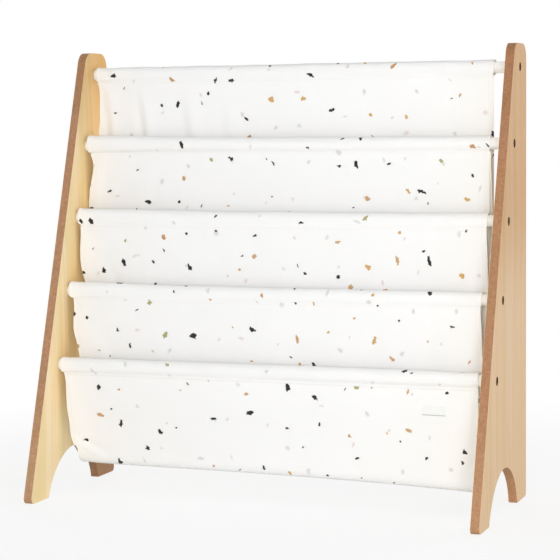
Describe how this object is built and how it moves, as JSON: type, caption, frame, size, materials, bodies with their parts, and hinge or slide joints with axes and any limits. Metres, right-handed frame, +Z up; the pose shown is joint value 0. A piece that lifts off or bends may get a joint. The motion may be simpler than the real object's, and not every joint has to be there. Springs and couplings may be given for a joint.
{
  "type": "children's sling bookshelf",
  "caption": "Low sling bookshelf for a child: leaning side boards with arched feet, joined by cross tubes that carry a printed cloth sling with book pockets.",
  "frame": {"origin": "on the floor, midway between the two boards and midway between the front of the toes and the upright rear edges", "axes": "+X from the left board to the right one as seen from the front, +Y from the front to the upright rear edges, +Z up"},
  "size_m": [0.63, 0.258, 0.61],
  "materials": {
    "lacquered_board": "satin clear lacquer over a pale wood grain, brown fibreboard edges",
    "white_tube": "glossy white powder coat",
    "bronzed_bolt": "dark bronze plating",
    "plug_steel": "bright zinc",
    "printed_canvas": "plain weave cotton canvas with a small scattered chip print",
    "label_tape": "blank woven tape"
  },
  "bodies": {
    "root": {"side_board_left": "lacquered_board", "side_board_right": "lacquered_board", "cross_tube_1": "white_tube", "cross_tube_2": "white_tube", "cross_tube_3": "white_tube", "cross_tube_4": "white_tube", "cross_tube_5": "white_tube", "bolt_left_1": "bronzed_bolt", "threaded_plug_left_1": "plug_steel", "bolt_right_1": "bronzed_bolt", "threaded_plug_right_1": "plug_steel", "bolt_left_2": "bronzed_bolt", "threaded_plug_left_2": "plug_steel", "bolt_right_2": "bronzed_bolt", "threaded_plug_right_2": "plug_steel", "bolt_left_3": "bronzed_bolt", "threaded_plug_left_3": "plug_steel", "bolt_right_3": "bronzed_bolt", "threaded_plug_right_3": "plug_steel", "bolt_left_4": "bronzed_bolt", "threaded_plug_left_4": "plug_steel", "bolt_right_4": "bronzed_bolt", "threaded_plug_right_4": "plug_steel", "bolt_left_5": "bronzed_bolt", "threaded_plug_left_5": "plug_steel", "bolt_right_5": "bronzed_bolt", "threaded_plug_right_5": "plug_steel", "sleeve_1": "printed_canvas", "sleeve_2": "printed_canvas", "sleeve_3": "printed_canvas", "sleeve_4": "printed_canvas", "sleeve_5": "printed_canvas", "pocket_1": "printed_canvas", "pocket_2": "printed_canvas", "pocket_3": "printed_canvas", "pocket_4": "printed_canvas", "sewn_label": "label_tape"}
  },
  "joints": []
}
